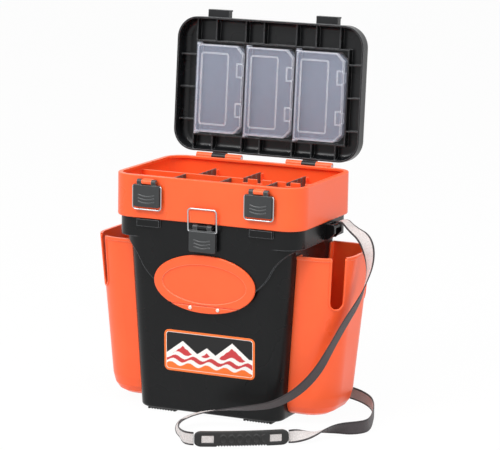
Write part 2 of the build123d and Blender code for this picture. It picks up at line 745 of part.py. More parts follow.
case_z0 = lid_z0 + case_set_back
case_part_z = case_z0 + case_cover_h
case_z1 = lid_top_in - 2 * seat_gap
case_axis_z = case_z0 + case_axis_in
case_ends = (case_y - case_l / 2, case_y + case_l / 2)
case_pins = []
for i, place in ((-1, "left"), (0, "middle"), (1, "right")):
    mid = i * case_pitch
    axis_x = mid - case_w / 2 + case_axis_in
    base_z0 = case_part_z + run_gap
    base = case_prism(mid, 0, base_z0, case_z1)
    base -= case_prism(mid, case_wall, base_z0 - bite, case_z1 - case_wall)
    lid_part = case_prism(mid, 0, case_z0, case_part_z)
    hinge_edge = lid_part.edges().filter_by(Axis.Y).group_by(Axis.Z)[0].sort_by(Axis.X)[0]
    lid_part = fillet(hinge_edge, case_edge_r)
    lid_part -= case_prism(mid, case_wall, case_z0 + case_wall, case_part_z + bite)
    # The hinged side is cut lower so that its edge clears the base as the cover turns
    lid_part -= block(
        mid - case_w / 2 - bite,
        mid - case_w / 2 + case_wall + case_relief,
        case_ends[0] - bite,
        case_ends[1] + bite,
        case_axis_z + case_axis_in + case_relief,
        case_part_z + bite,
    )
    bead_x0 = mid - case_w / 2 + case_bead_left
    bead_x1 = mid + case_w / 2 - case_bead_right
    bead_l = case_l - 2 * case_bead_in
    bead = slab(bead_x1 - bead_x0, bead_l, case_bead_r, case_z0 - case_bead_h, case_z0 + case_wall / 2)
    bead -= slab(
        bead_x1 - bead_x0 - 2 * case_bead_w,
        bead_l - 2 * case_bead_w,
        case_bead_r - case_bead_w,
        case_z0 - bite,
        case_z0 + bite,
    )
    lid_part += Pos((bead_x0 + bead_x1) / 2, case_y, 0) * bead
    for y, out in ((case_ends[0], -1), (case_ends[1], 1)):
        y0, y1 = sorted((y + out * run_gap, y + out * (run_gap + case_ear_t)))
        base += rod_y(axis_x, y0, y1, case_axis_z, case_axis_in)
        ear_x0 = axis_x - case_axis_in
        ear_x1 = axis_x + case_axis_in
        base += block(ear_x0, ear_x1, y0, y1, case_axis_z, base_z0 + case_ear_up)
        y2, y3 = sorted((y - out * bite, y + out * (run_gap + case_ear_t)))
        base += block(ear_x0, ear_x1, y2, y3, base_z0 + bite, base_z0 + case_ear_up)
        p0, p1 = sorted((y - out * (case_wall + case_pin_in), y + out * (run_gap + case_ear_t)))
        b0, b1 = sorted((y - out * (case_wall + case_boss_in), y))
        lid_part += rod_y(axis_x, b0, b1, case_axis_z, case_boss_r)
        bore = rod_y(axis_x, p0 - bite, p1 + bite, case_axis_z, case_pin_r + pin_clear)
        base -= bore
        lid_part -= bore
        case_pins.append(swing_lid(rod_y(axis_x, p0, p1, case_axis_z, case_pin_r)))
    for tab_y in (case_y - case_tab_y, case_y + case_tab_y):
        x0 = mid + case_w / 2 + run_gap
        t0 = tab_y - case_tab_l / 2
        t1 = tab_y + case_tab_l / 2
        clip_x = x0 - run_gap - case_clip_w
        c0 = tab_y - case_clip_l / 2
        c1 = tab_y + case_clip_l / 2
        clip = block(clip_x, x0 - run_gap, c0, c1, case_z0 - case_bead_h, case_z0 + case_wall / 2)
        clip -= block(
            clip_x + case_clip_t, x0 + bite, c0 + case_clip_t, c1 - case_clip_t, case_z0 - bite, case_z0 + bite
        )
        lid_part += clip
        lid_part += block(x0, x0 + case_tab_t, t0, t1, case_z0, case_part_z + case_tab_up)
        lid_part += block(x0 - run_gap - bite, x0 + case_tab_t / 2, t0, t1, case_z0, case_part_z - bite)
    nodes[f"{place}_case_base"] = swing_lid(base)
    nodes[f"{place}_case_cover"] = swing_lid(lid_part)
nodes["case_hinge_pins"] = Compound(children=case_pins)


# Side pockets: open sheaths on the tub's flanks with a rod slot at each outer corner
def pocket_face(z, inset, base_inset):
    """The pocket's plan at a height: square towards the tub and round at its outer corners."""
    share = (pocket_z1 - z) / (pocket_z1 - pocket_z0)
    x0 = tub_half_width(z) + run_gap + base_inset
    x1 = pocket_x1 - share * pocket_taper - inset
    y0 = pocket_front + share * pocket_side_draft + inset
    y1 = pocket_back - share * pocket_side_draft - inset
    r = pocket_corner - inset
    edges = [
        Line((x0, y0), (x1 - r, y0)),
        CenterArc((x1 - r, y0 + r), r, -90, 90),
        Line((x1, y0 + r), (x1, y1 - r)),
        CenterArc((x1 - r, y1 - r), r, 0, 90),
        Line((x1 - r, y1), (x0, y1)),
        Line((x0, y1), (x0, y0)),
    ]
    return Plane.XY.offset(z) * make_face(edges)


def pocket_stack(wall):
    """The pocket's outer shape, or its hollow when a wall is given."""
    faces = []
    for up, inset in pocket_round:
        faces.append(pocket_face(pocket_z0 + up + wall, inset + wall, wall))
    faces.append(pocket_face(pocket_z1 + wall / 2, wall, wall))
    return loft(faces, ruled=True)


pocket = pocket_stack(0)
pocket += loft(
    [pocket_face(pocket_z1 - pocket_rim_h, -pocket_rim, 0), pocket_face(pocket_z1, -pocket_rim, 0)],
    ruled=True,
)
pocket -= pocket_stack(pocket_wall)
# The back is open at the top, where the tub's own wall closes the pocket
window_x = tub_half_width(pocket_z1) + run_gap + pocket_wall + bite
pocket -= block(
    0,
    window_x,
    pocket_front + pocket_window_in,
    pocket_back - pocket_window_in,
    pocket_window_z,
    pocket_z1 + reach,
)
slot_x = pocket_x1 - pocket_corner
for corner_y, turn in ((pocket_front + pocket_corner, -45), (pocket_back - pocket_corner, 45)):
    slot_top = pocket_z1 + reach
    cutter = Pos(pocket_corner, 0, (slot_z + slot_top) / 2) * Box(pocket_corner, slot_w, slot_top - slot_z)
    cutter += Pos(pocket_corner, 0, slot_z) * Rot(0, 90, 0) * Cylinder(slot_w / 2, pocket_corner)
    pocket -= Pos(slot_x, corner_y, 0) * Rot(0, 0, turn) * cutter

# Pocket screws: each passes the pocket's flat back and the tub's wall square to that wall
flank_lean = math.atan((tub_step_w - tub_base_w) / 2 / (tub_step_z - tub_base_z))
pocket_mid_y = (pocket_front + pocket_back) / 2
screws = []
holes = []
for z in screw_z:
    seat_x = tub_half_width(z) + run_gap + pocket_wall
    place = Pos(seat_x, pocket_mid_y, z) * Rot(0, 90 + math.degrees(flank_lean), 0)
    shank_l = pocket_wall + tub_wall + screw_past
    shank = Pos(0, 0, 2 * seat_gap - shank_l / 2) * Cylinder(screw_r, shank_l)
    head = Pos(0, 0, screw_head_h / 2 + seat_gap) * Cylinder(screw_head_r, screw_head_h)
    head = fillet(head.edges().group_by(Axis.Z)[-1], screw_head_round)
    screws.append(place * (shank + head))
    holes.append(place * Cylinder(screw_r + pin_clear, reach / 2))
for hole in holes:
    pocket -= hole
    nodes["tub_shell"] -= hole
    nodes["tub_shell"] -= mirror(hole, about=Plane.YZ)
nodes["right_pocket"] = pocket
nodes["left_pocket"] = mirror(pocket, about=Plane.YZ)
nodes["pocket_screws"] = Compound(children=screws + [mirror(s, about=Plane.YZ) for s in screws])

# Strap lugs: a plate on the collar's side with two ears and a bar for the webbing
lug_z1 = tub_rim_z - lug_drop
lug_z0 = lug_z1 - lug_h
lug_x0 = collar_w / 2
lug_bar_x = lug_x0 + lug_out - lug_bar_r - lug_bar_in
lug_bar_z = lug_z1 - lug_bar_r - lug_bar_down
lug = block(lug_x0, lug_x0 + lug_plate, lug_y - lug_w / 2, lug_y + lug_w / 2, lug_z0, lug_z1)
for end in (-1, 1):
    y0, y1 = sorted((lug_y + end * lug_w / 2, lug_y + end * (lug_w / 2 - lug_ear)))
    ear = block(lug_x0, lug_x0 + lug_out, y0, y1, lug_z0, lug_z1)
    ear = chamfer(ear.edges().filter_by(Axis.Y).group_by(Axis.Z)[0].sort_by(Axis.X)[-1], lug_chamfer)
    lug += fillet(ear.edges().filter_by(Axis.Y).group_by(Axis.Z)[-1].sort_by(Axis.X)[-1], lug_round)
lug += rod_y(lug_bar_x, lug_y - lug_w / 2 + bite, lug_y + lug_w / 2 - bite, lug_bar_z, lug_bar_r)
nodes["right_strap_lug"] = lug
nodes["left_strap_lug"] = mirror(lug, about=Plane.YZ)


# Carrying strap: flat webbing on a hand-laid route. Each point has the way its width runs there.
def webbing(points):
    """A flat band along straight runs joined by arcs, turned at each point to its width's direction."""
    places = [Vector(*place) for place, _ in points]
    across = [Vector(*way) for _, way in points]
    radii = []
    for a, b, c in zip(places, places[1:], places[2:]):
        turn = math.radians((b - a).get_angle(c - b))
        radii.append(0.45 * min((b - a).length, (c - b).length) / math.tan(turn / 2))
    route = FilletPolyline(*places, radius=radii)
    marks = [0.0]
    for a, b in zip(places, places[1:]):
        marks.append(marks[-1] + (b - a).length)
    count = int(route.length / webbing_step)
    faces = []
    for k in range(count + 1):
        share = k / count
        along = share * marks[-1]
        i = max(n for n in range(len(marks) - 1) if marks[n] <= along + 1e-6)
        mix = (along - marks[i]) / (marks[i + 1] - marks[i])
        tangent = route % share
        way = across[i] * (1 - mix) + across[i + 1] * mix
        way = way - tangent * way.dot(tangent)
        faces.append(Plane(origin=route @ share, x_dir=way, z_dir=tangent) * Rectangle(strap_w, strap_t))
    return loft(faces, ruled=True)


strap_end_z = lug_bar_z + lug_bar_r + strap_lift + strap_t / 2
strap_front = [
    ((lug_bar_x, lug_y, strap_end_z), (0, 1, 0)),
    ((173, 18, 305), (0.15, 1, 0.05)),
    ((188, 14, 292), (0.35, 0.9, 0.1)),
    ((215, 7, 279), (0.9, 0.4, 0.25)),
    ((229, -6, 248), (0.8, -0.45, 0.35)),
    ((226, -18, 214), (0.4, -0.85, 0.3)),
    ((218, -30, 187), (0.1, -0.9, 0.45)),
    ((207, -47, 162), (0, -0.85, 0.5)),
    ((193, -68, 125), (-0.05, -0.9, 0.4)),
    ((177, -78, 90), (-0.3, -0.85, 0.4)),
    ((150, -85, 58), (-0.25, -0.8, 0.6)),
    ((118, -100, 37), (0, -0.75, 0.65)),
    ((80, -108, 29), (0.1, -0.8, 0.55)),
    ((45, -115, 25), (0.2, -0.9, 0.3)),
    ((14, -127, 20), (0.6, -0.75, 0.15)),
    ((-1, -144, 16), (0.85, -0.42, 0.25)),
    ((-4, -165, 13), (0.85, 0.03, 0.45)),
    ((2, -190, 12), (0.35, 0.1, 0.9)),
    ((17, -217, 11.6), (-0.2, -0.15, 0.95)),
    ((31, -237, 11.8), (-0.1, -0.1, 1)),
    ((43.5, -245.5, 11.6), (0, 0, 1)),
    ((53.2, -243.5, 11.7), (0, 0, 1)),
]
pad_ends = ((54.0, -243.0), (170.0, -168.0))
strap_rear = [
    ((170.5, -167.5, 11.7), (0, 0, -1)),
    ((184, -156, 11.8), (0.5, -0.45, -0.7)),
    ((194, -136, 11.6), (0.85, -0.4, -0.1)),
    ((201, -112, 11.7), (0.75, -0.35, 0.5)),
    ((216, -92, 11.6), (0.3, -0.4, 0.85)),
    ((236, -82, 11.8), (0, 0, 1)),
    ((250, -62, 11.7), (0, 0, 1)),
    ((247, -36, 11.6), (0, 0, 1)),
    ((236, 0, 11.8), (0, 0, 1)),
    ((222, 40, 11.6), (0, 0, 1)),
    ((200, 80, 11.7), (0, 0, 1)),
    ((165, 112, 11.6), (0, 0, 1)),
    ((120, 130, 11.8), (0, 0, 1)),
    ((66, 138, 11.6), (0, 0, 1)),
    ((10, 139, 11.8), (0, 0, 1)),
    ((-46, 134, 13), (0, 0.1, 1)),
    ((-96, 126, 20), (0.1, 0.2, 1)),
    ((-134, 116, 42), (0.4, 0.3, 1)),
    ((-160, 107, 80), (0.7, 0.4, 0.6)),
    ((-178, 101, 128), (0.9, 0.4, 0.2)),
    ((-188, 95, 178), (0.9, 0.4, 0)),
    ((-193, 92, 222), (0.9, 0.3, 0)),
    ((-195, 82, 254), (0.8, 0.3, 0.2)),
    ((-195, 58, 278), (0.6, 0.3, 0.6)),
    ((-191, 32, 294), (0.5, 0.8, 0.1)),
    ((-182, 20, 303), (0.2, 1, 0)),
    ((-171, 18, 304), (0, 1, 0)),
    ((-lug_bar_x, lug_y, strap_end_z), (0, 1, 0)),
]
nodes["strap_front"] = webbing(strap_front)
nodes["strap_rear"] = webbing(strap_rear)

# Shoulder pad: a gently bowed rubber sleeve standing on its edge between the two strap ends
pad_a = Vector(*pad_ends[0])
pad_b = Vector(*pad_ends[1])
pad_way = (pad_b - pad_a).normalized()
pad_side = Vector(pad_way.Y, -pad_way.X)
pad_mid = (pad_a + pad_b) * 0.5 + pad_side * pad_sag
bow_out = ThreePointArc(
    pad_a + pad_side * (pad_t / 2), pad_mid + pad_side * (pad_t / 2), pad_b + pad_side * (pad_t / 2)
)
bow_in = ThreePointArc(
    pad_b - pad_side * (pad_t / 2), pad_mid - pad_side * (pad_t / 2), pad_a - pad_side * (pad_t / 2)
)
pad_outline = make_face([bow_out, Line(bow_out @ 1, bow_in @ 0), bow_in, Line(bow_in @ 1, bow_out @ 0)])
pad_solid = extrude(pad_outline, amount=pad_h)
nodes["shoulder_pad"] = fillet(pad_solid.edges().filter_by(Axis.Z), pad_round)

os.makedirs("parts", exist_ok=True)
for name, shape in nodes.items():
    export_step(shape, f"parts/{name}.step")
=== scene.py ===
import math

import bpy
import numpy as np
from mathutils import Matrix, Vector


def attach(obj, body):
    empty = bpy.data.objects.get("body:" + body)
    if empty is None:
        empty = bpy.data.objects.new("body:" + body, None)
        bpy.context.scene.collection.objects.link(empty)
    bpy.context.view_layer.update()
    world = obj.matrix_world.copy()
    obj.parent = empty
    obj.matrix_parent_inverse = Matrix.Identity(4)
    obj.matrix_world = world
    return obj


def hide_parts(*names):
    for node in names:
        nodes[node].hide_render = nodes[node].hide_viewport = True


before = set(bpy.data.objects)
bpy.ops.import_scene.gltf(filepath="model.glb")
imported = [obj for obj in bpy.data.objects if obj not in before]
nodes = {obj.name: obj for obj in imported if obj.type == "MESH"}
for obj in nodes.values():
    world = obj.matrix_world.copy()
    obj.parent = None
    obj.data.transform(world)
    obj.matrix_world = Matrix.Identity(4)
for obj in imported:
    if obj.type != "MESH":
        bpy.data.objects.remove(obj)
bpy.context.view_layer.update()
scene = bpy.context.scene
scene.view_settings.view_transform = "Standard"

# Camera: a long lens standing to the right of the front and a little above the tray, rolled by
# under a degree. The picture is 500 by 450 pixels on a sensor 36 mm wide.
view_azimuth = math.radians(24.50)
view_elevation = math.radians(11.70)
view_roll = math.radians(0.895)
view_distance = 3.9588
look_at = Vector((0.0, 0.0, 0.2))
aim_right = 0.0270
aim_up = 0.0806
lens_mm = 186.6
sensor_mm = 36.0
back = Vector(
    (
        math.sin(view_azimuth) * math.cos(view_elevation),
        -math.cos(view_azimuth) * math.cos(view_elevation),
        math.sin(view_elevation),
    )
)
level = Vector((math.cos(view_azimuth), math.sin(view_azimuth), 0.0))
upright = back.cross(level)
right = level * math.cos(view_roll) + upright * math.sin(view_roll)
up = upright * math.cos(view_roll) - level * math.sin(view_roll)
camera_place = look_at + back * view_distance
camera_aim = look_at + right * aim_right + up * aim_up
back = (camera_place - camera_aim).normalized()
right = up.cross(back).normalized()
up = back.cross(right)
camera = bpy.data.objects.new("camera", bpy.data.cameras.new("camera"))
camera.data.lens = lens_mm
camera.data.sensor_width = sensor_mm
camera.matrix_world = Matrix.Translation(camera_place) @ Matrix((right, up, back)).transposed().to_4x4()
scene.collection.objects.link(camera)
scene.camera = camera


# Studio: a white sweep of paper under soft boxes. To the camera the paper is nearly all glow, so that
# it stays white and still keeps a faint shadow of the box.
def linear(hex_colour):
    """An sRGB hex colour as linear red, green, blue and alpha 1."""
    srgb = np.array([int(hex_colour[i : i + 2], 16) / 255 for i in (0, 2, 4)])
    low = srgb / 12.92
    high = ((srgb + 0.055) / 1.055) ** 2.4
    return (*np.where(srgb <= 0.04045, low, high).tolist(), 1.0)


def add(tree, kind, inputs, **settings):
    """Adds a shader node, sets its settings, and fills or links its inputs."""
    made = tree.nodes.new("ShaderNode" + kind)
    for name, value in settings.items():
        setattr(made, name, value)
    for name, value in inputs.items():
        if isinstance(value, bpy.types.NodeSocket):
            tree.links.new(value, made.inputs[name])
        else:
            made.inputs[name].default_value = value
    return made


def seen_directly(tree):
    """A socket that is 1 for rays from the camera, from gloss and through clear plastic."""
    path = add(tree, "LightPath", {}).outputs
    first = add(tree, "Math", {0: path["Is Camera Ray"], 1: path["Is Glossy Ray"]}, operation="MAXIMUM")
    both = add(tree, "Math", {0: first.outputs[0], 1: path["Is Transmission Ray"]}, operation="MAXIMUM")
    return both.outputs[0]


def new_material(name):
    """A material without nodes, and its node tree."""
    material = bpy.data.materials.new(name)
    material.use_nodes = True
    material.node_tree.nodes.clear()
    return material, material.node_tree


white = linear("FFFFFF")
sky_light = 0.25
sky_shown = 1.0
world = bpy.data.worlds.new("studio")
world.use_nodes = True
tree = world.node_tree
tree.nodes.clear()
lit = add(tree, "Background", {"Color": white, "Strength": sky_light})
shown = add(tree, "Background", {"Color": white, "Strength": sky_shown})
mixed = add(tree, "MixShader", {0: seen_directly(tree), 1: lit.outputs[0], 2: shown.outputs[0]})
add(tree, "OutputWorld", {"Surface": mixed.outputs[0]})
scene.world = world

paper, tree = new_material("white_paper")
paper_glow = 0.97
matte = add(tree, "BsdfDiffuse", {"Color": linear("F6F6F6")})
glow = add(tree, "Emission", {"Color": white, "Strength": sky_shown})
share = add(tree, "Math", {0: seen_directly(tree), 1: paper_glow}, operation="MULTIPLY")
mixed = add(tree, "MixShader", {0: share.outputs[0], 1: matte.outputs[0], 2: glow.outputs[0]})
add(tree, "OutputMaterial", {"Surface": mixed.outputs[0]})
floor_half = 20.0
floor_mesh = bpy.data.meshes.new("floor")
floor_corners = [(x * floor_half, y * floor_half, 0) for x, y in ((-1, -1), (1, -1), (1, 1), (-1, 1))]
floor_mesh.from_pydata(floor_corners, [], [(0, 1, 2, 3)])
floor_mesh.materials.append(paper)
floor = bpy.data.objects.new("floor", floor_mesh)
scene.collection.objects.link(floor)

soft_boxes = {
    "front_box": ((-1.1, -2.5, 2.8), 2.0, 90.0),
    "right_box": ((2.4, -0.3, 1.5), 1.4, 21.0),
    "top_box": ((0.2, -0.5, 2.5), 1.6, 42.0),
}
for name, (place, size, watts) in soft_boxes.items():
    lamp = bpy.data.lights.new(name, "AREA")
    lamp.size = size
    lamp.energy = watts
    box = bpy.data.objects.new(name, lamp)
    box.location = place
    box.rotation_mode = "QUATERNION"
    box.rotation_quaternion = (look_at - Vector(place)).to_track_quat("-Z", "Y")
    scene.collection.objects.link(box)


# Tub, lugs, latch levers and lid: black polypropylene from a moulding tool with a fine spark-eroded
# grain. It is satin, nearly black, and shows pale broad reflections on its rounded corners.
def dress(material, *names):
    """Gives CAD nodes their finish."""
    for name in names:
        nodes[name].data.materials.clear()
        nodes[name].data.materials.append(material)


def near_edge(tree, edge_mm, flat_match, edge_match):
    """The normal with rounded edges, and how near an edge is, from 0 to 1, by how far it turned."""
    rounded = add(tree, "Bevel", {"Radius": edge_mm / 1000}, samples=6).outputs[0]
    flat = add(tree, "NewGeometry", {}).outputs["Normal"]
    match = add(tree, "VectorMath", {0: rounded, 1: flat}, operation="DOT_PRODUCT").outputs["Value"]
    return rounded, add(tree, "MapRange", {0: match, 1: flat_match, 2: edge_match}).outputs[0]


plastic_ior = 1.49


def moulded_plastic(name, dark, light, edge, edge_mm, rough, gloss, grain_mm, grain_depth_mm):
    """Moulded plastic: a slow cloud of two tones, a fine tool grain, and a painted highlight that makes its
    rounded edges paler.
    """
    cloud_mm = 70.0
    cloud_low, cloud_high = 0.3, 0.7
    shinier = 0.05
    duller = 0.06
    grain_strength = 0.5
    material, tree = new_material(name)
    place = add(tree, "TexCoord", {}).outputs["Object"]
    cloud = add(tree, "TexNoise", {"Vector": place, "Scale": 1000 / cloud_mm, "Detail": 3.0}).outputs[0]
    grain = add(tree, "TexNoise", {"Vector": place, "Scale": 1000 / grain_mm, "Detail": 2.0}).outputs[0]
    tone = add(tree, "Mix", {0: cloud, 6: linear(dark), 7: linear(light)}, data_type="RGBA").outputs[2]
    sheen = add(tree, "MapRange", {0: cloud, 1: cloud_low, 2: cloud_high, 3: rough - shinier,
                                   4: rough + duller}).outputs[0]
    rounded, painted_edge_highlight = near_edge(tree, edge_mm, flat_match=0.99, edge_match=0.75)
    # Painted highlight: the base colour turns to the pale edge colour near each edge, where the bevelled
    # normal turns away.
    colour = add(tree, "Mix", {0: painted_edge_highlight, 6: tone, 7: linear(edge)}, data_type="RGBA").outputs[2]
    bump = add(tree, "Bump", {"Height": grain, "Distance": grain_depth_mm / 1000, "Strength": grain_strength,
                              "Normal": rounded})
    shader = add(tree, "BsdfPrincipled", {"Base Color": colour, "Roughness": sheen, "IOR": plastic_ior,
                                          "Specular IOR Level": gloss, "Normal": bump.outputs[0]})
    add(tree, "OutputMaterial", {"Surface": shader.outputs[0]})
    return material


# The pale edge colours of the tub, lid and levers are painted highlights along their rounded edges.
black_plastic = moulded_plastic("black_polypropylene", dark="0F1011", light="151617", edge="6E7073",
                                edge_mm=2.2, rough=0.26, gloss=0.22, grain_mm=0.9, grain_depth_mm=0.03)
dress(black_plastic, "tub_shell", "left_strap_lug", "right_strap_lug")
lid_plastic = moulded_plastic("lid_polypropylene", dark="141517", light="1A1B1D", edge="77787A",
                              edge_mm=1.4, rough=0.28, gloss=0.30, grain_mm=0.9, grain_depth_mm=0.03)
dress(lid_plastic, "lid_shell")
lever_plastic = moulded_plastic("lever_polypropylene", dark="2A2C2D", light="323435", edge="7C7E80",
                                edge_mm=1.2, rough=0.34, gloss=0.45, grain_mm=0.8, grain_depth_mm=0.04)
dress(lever_plastic, "left_latch_lever", "right_latch_lever", "centre_latch_lever")

# Tray, hatch and side pockets: orange polypropylene, moulded like the tub but polished a little
# more, so that it is bright and even with a soft gloss.
# The pale orange edge colour is a painted highlight along the rounded edges of the tray, hatch and pockets.
orange_plastic = moulded_plastic("orange_polypropylene", dark="FB5C2A", light="FE6633", edge="FFAE8A",
                                 edge_mm=1.3, rough=0.32, gloss=0.40, grain_mm=1.1, grain_depth_mm=0.04)
dress(orange_plastic, "tray_shell", "left_pocket", "right_pocket", "hatch_cover", "hatch_hinge_strip")

# Dividers: loose combs of dark grey-brown polystyrene that stand in the tray's grooves. Their edges
# catch the light, and that paler edge is painted into their colour as a highlight.
divider_plastic = moulded_plastic("divider_polystyrene", dark="4A3D39", light="584A43", edge="B5A69E",
                                  edge_mm=1.2, rough=0.40, gloss=0.40, grain_mm=0.9, grain_depth_mm=0.04)
places = ("left", "middle", "right")
dress(divider_plastic, *[f"{row}_divider_{place}" for row in ("front", "rear") for place in places])

# Feet: ribbed pads of black rubber under the corners of the tub. They are matt and a little dusty,
# and the shoulder pad is of the same rubber.
# The paler edge colour of the rubber is a painted highlight along its edges.
rubber = moulded_plastic("black_rubber", dark="1B1B1B", light="262626", edge="505050", edge_mm=0.8,
                         rough=0.52, gloss=0.40, grain_mm=0.7, grain_depth_mm=0.08)
dress(rubber, "feet")


# Clear cases: thin frosted polypropylene. A wall seen face on lets the black lid through, and its
# edges, where the light runs along the sheet, look nearly white; that white is a painted highlight.
def frosted_plastic(name, hex_colour, face_on, edge_on):
    """Milky sheet that is thin face on, denser edge on, and denser where two faces meet, with a painted
    white highlight there.
    """
    frost_mm = 1.4
    frost_depth_mm = 0.06
    frost_strength = 0.4
    edge_mm = 1.2
    edge_dense = 0.95
    slant_blend = 0.4
    slant_low, slant_high = 0.25, 0.95
    rough = 0.32
    material, tree = new_material(name)
    slant = add(tree, "LayerWeight", {"Blend": slant_blend}).outputs["Facing"]
    dense = add(tree, "MapRange", {0: slant, 1: slant_low, 2: slant_high, 3: face_on, 4: edge_on}).outputs[0]
    _, painted_edge_highlight = near_edge(tree, edge_mm, flat_match=0.995, edge_match=0.80)
    # Painted highlight: the colour turns white near each edge, where light would run along the sheet.
    colour = add(tree, "Mix", {0: painted_edge_highlight, 6: linear(hex_colour), 7: white}, data_type="RGBA").outputs[2]
    thick = add(tree, "Math", {0: painted_edge_highlight, 1: edge_dense}, operation="MULTIPLY").outputs[0]
    alpha = add(tree, "Math", {0: dense, 1: thick}, operation="MAXIMUM").outputs[0]
    place = add(tree, "TexCoord", {}).outputs["Object"]
    frost = add(tree, "TexNoise", {"Vector": place, "Scale": 1000 / frost_mm, "Detail": 3.0}).outputs[0]
    bump = add(tree, "Bump", {"Height": frost, "Distance": frost_depth_mm / 1000,
                              "Strength": frost_strength})
    shader = add(tree, "BsdfPrincipled", {"Base Color": colour, "Roughness": rough, "IOR": plastic_ior,
                                          "Alpha": alpha, "Normal": bump.outputs[0]})
    add(tree, "OutputMaterial", {"Surface": shader.outputs[0]})
    return material


case_plastic = frosted_plastic("frosted_polypropylene", "D0DBF2", face_on=0.125, edge_on=0.30)
case_nodes = [f"{place}_case_{half}" for place in places for half in ("base", "cover")]
dress(case_plastic, "case_hinge_pins", *case_nodes)


# Wire bails, pins and screws: drawn steel with a bright zinc plate, a little uneven, that mirrors the
# white studio. The hatch's rivets are soft aluminium, paler and duller.
def bright_metal(name, hex_colour, rough):
    """Bright plated metal with a faint uneven polish."""
    polish_mm = 2.5
    shinier = 0.06
    duller = 0.08
    material, tree = new_material(name)
    place = add(tree, "TexCoord", {}).outputs["Object"]
    polish = add(tree, "TexNoise", {"Vector": place, "Scale": 1000 / polish_mm, "Detail": 3.0}).outputs[0]
    sheen = add(tree, "MapRange", {0: polish, 3: rough - shinier, 4: rough + duller}).outputs[0]
    shader = add(tree, "BsdfPrincipled", {"Base Color": linear(hex_colour), "Metallic": 1.0,
                                          "Roughness": sheen})
    add(tree, "OutputMaterial", {"Surface": shader.outputs[0]})
    return material


steel = bright_metal("zinc_plated_steel", "B9BABC", rough=0.22)
dress(steel, "left_latch_bail", "right_latch_bail", "centre_latch_bail", "lid_hinge_pins", "tray_hinge_pins",
      "front_latch_pins", "centre_latch_pin", "pocket_screws")
aluminium = bright_metal("rivet_aluminium", "EFE6DD", rough=0.34)
dress(aluminium, "hatch_rivets")


# Slot lips: each rod slot in a pocket has a rounded lip moulded along its edge, which stiffens it.
# The lip follows the pocket's tapering corner down one side, round the foot and up the other.
def carry(path, across, profile):
    """A closed profile carried along a path: path + a * across + b * (tangent x across) at each step."""
    tangent = np.gradient(path, axis=0)
    tangent /= np.linalg.norm(tangent, axis=1)[:, None]
    side = across - (across * tangent).sum(1)[:, None] * tangent
    side /= np.linalg.norm(side, axis=1)[:, None]
    rise = np.cross(tangent, side)
    a = profile[..., 0, None]
    b = profile[..., 1, None]
    return path[:, None, :] + a * side[:, None, :] + b * rise[:, None, :]


def ring_faces(rows, columns):
    """Quads between neighbouring rows of a grid whose columns close into a ring, and a cap at each end."""
    i, j = np.meshgrid(np.arange(rows - 1), np.arange(columns), indexing="ij")
    k = (j + 1) % columns
    quads = np.stack([i * columns + j, i * columns + k, (i + 1) * columns + k, (i + 1) * columns + j], -1)
    first = np.arange(columns)[::-1]
    last = (rows - 1) * columns + np.arange(columns)
    return quads.reshape(-1, 4).tolist() + [first.tolist(), last.tolist()]


def ring_piece(name, points, material):
    """A closed piece from one or more grids of rings, each turned so that its faces point outwards."""
    grids = points if isinstance(points, list) else [points]
    vertices = []
    faces = []
    for grid in grids:
        rows, columns, _ = grid.shape
        flat = grid.reshape(-1, 3)
        middle = grid.mean(1)
        spokes = grid[: rows - 1] - middle[: rows - 1, None]
        turn = np.cross(spokes, np.roll(spokes, -1, axis=1)).sum(1)
        outwards = (turn * np.diff(middle, axis=0)).sum() > 0
        start = sum(len(v) for v in vertices)
        for face in ring_faces(rows, columns):
            ids = [start + n for n in face]
            faces.append(ids if outwards else ids[::-1])
        vertices.append(flat)
    mesh = bpy.data.meshes.new(name)
    mesh.from_pydata(np.concatenate(vertices).tolist(), [], faces)
    mesh.polygons.foreach_set("use_smooth", [True] * len(mesh.polygons))
    mesh.materials.append(material)
    mesh.update()
    piece = bpy.data.objects.new(name, mesh)
    scene.collection.objects.link(piece)
    return piece


pocket_top = 0.258
pocket_foot = 0.012
pocket_out = 0.210
pocket_taper = 0.023
pocket_draft = 0.006
pocket_corner = 0.046
pocket_ends = {"front": (-0.065, 1.0), "rear": (0.075, -1.0)}
slot_half = 0.012
slot_foot = 0.190
lip_r = 0.0017
lip_sides = 10
lip_start = 0.002
straight_steps = 16
turn_steps = 25


def slot_lip(end_y, inwards, side):
    """A round lip on the slot's edge: each point of the edge is moved out along the corner's diagonal
    until it meets the circle that the pocket's corner has at that height."""
    drop = np.linspace(pocket_top - lip_start, slot_foot, straight_steps)
    turn = np.linspace(0, math.pi, turn_steps)[1:-1]
    edge = np.full(straight_steps, slot_half)
    lateral = np.concatenate([edge, slot_half * np.cos(turn), -edge])
    height = np.concatenate([drop, slot_foot - slot_half * np.sin(turn), drop[::-1]])
    share = (pocket_top - height) / (pocket_top - pocket_foot)
    centre = np.stack([pocket_out - share * pocket_taper - pocket_corner,
                       end_y + inwards * (share * pocket_draft + pocket_corner)], 1)
    out = np.array([1.0, -inwards]) / math.sqrt(2)
    along = np.array([inwards, 1.0]) / math.sqrt(2)
    top_centre = np.array([pocket_out - pocket_corner, end_y + inwards * pocket_corner])
    start = top_centre + lateral[:, None] * along
    rel = start - centre
    half_b = rel @ out
    reach = -half_b + np.sqrt(half_b**2 - (rel**2).sum(1) + pocket_corner**2)
    plan = start + reach[:, None] * out
    path = np.stack([side * plan[:, 0], plan[:, 1], height], 1)
    normal = (plan - centre) / pocket_corner
    across = np.stack([side * normal[:, 0], normal[:, 1], np.zeros(len(height))], 1)
    angle = np.linspace(0, 2 * math.pi, lip_sides, endpoint=False)
    return carry(path, across, lip_r * np.stack([np.cos(angle), np.sin(angle)], 1))


for name, side in (("left", -1.0), ("right", 1.0)):
    lips = [slot_lip(end_y, inwards, side) for end_y, inwards in pocket_ends.values()]
    lip_piece = ring_piece(f"{name}_slot_lips", lips, orange_plastic)
    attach(lip_piece, "tub")


